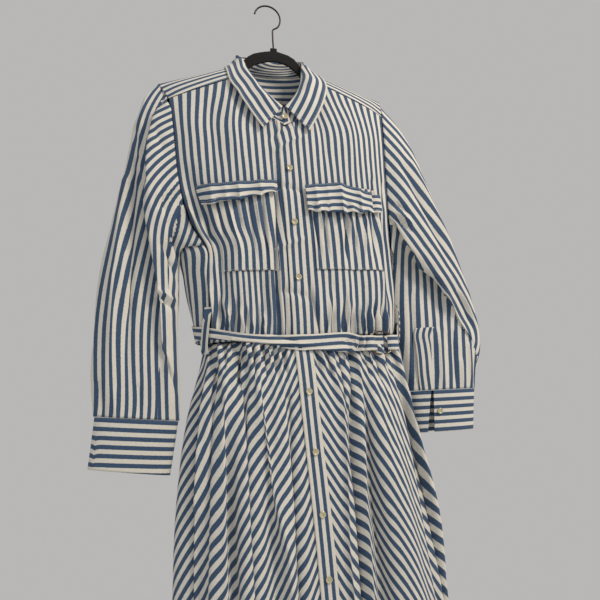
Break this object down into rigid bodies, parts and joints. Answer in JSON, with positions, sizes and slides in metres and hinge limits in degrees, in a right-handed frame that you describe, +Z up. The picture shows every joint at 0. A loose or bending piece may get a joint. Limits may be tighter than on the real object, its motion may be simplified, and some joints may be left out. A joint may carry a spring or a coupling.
{
  "type": "shirt dress on a hanger",
  "caption": "Long-sleeved striped cotton shirt dress with collar, chest pockets, flared skirt and ring belt, buttoned and hanging flat on a slim arched hanger.",
  "frame": {"origin": "inner top of the hanger's hook, where the rail or nail that holds it bears", "axes": "+Z up; the dress faces -Y; +X is the viewer's right when facing its front, so the wearer's left"},
  "size_m": [0.6823, 0.1745, 1.3533],
  "materials": {
    "striped_cotton": "matt cotton poplin, blue and off-white stripes 5.6 mm wide",
    "woven_label": "blank woven tape",
    "button_shell": "pearly shell",
    "ring_metal": "plain polished wire",
    "black_flock": "black flocking over a moulded hanger",
    "dark_wire": "dark plated wire"
  },
  "bodies": {
    "root": {"yoke": "striped_cotton", "bodice_front_right": "striped_cotton", "bodice_front_left": "striped_cotton", "bodice_back": "striped_cotton", "placket_bodice": "striped_cotton", "pocket_right": "striped_cotton", "pocket_left": "striped_cotton", "pocket_flap_right": "striped_cotton", "pocket_flap_left": "striped_cotton", "skirt_front_right": "striped_cotton", "skirt_front_left": "striped_cotton", "skirt_back": "striped_cotton", "placket_skirt": "striped_cotton", "sleeve_right": "striped_cotton", "sleeve_left": "striped_cotton", "sleeve_placket_right": "striped_cotton", "sleeve_placket_left": "striped_cotton", "cuff_right": "striped_cotton", "cuff_left": "striped_cotton", "collar_stand": "striped_cotton", "collar_leaf": "striped_cotton", "belt": "striped_cotton", "belt_loop_right": "striped_cotton", "belt_loop_left": "striped_cotton", "neck_label": "woven_label", "belt_ring_inner": "ring_metal", "belt_ring_outer": "ring_metal", "button_01": "button_shell", "button_02": "button_shell", "button_03": "button_shell", "button_04": "button_shell", "button_05": "button_shell", "button_06": "button_shell", "button_07": "button_shell", "button_08": "button_shell", "button_09": "button_shell", "button_10": "button_shell", "button_11": "button_shell", "button_cuff_right": "button_shell", "button_cuff_left": "button_shell", "hanger": "black_flock", "hanger_hook": "dark_wire"}
  },
  "joints": []
}
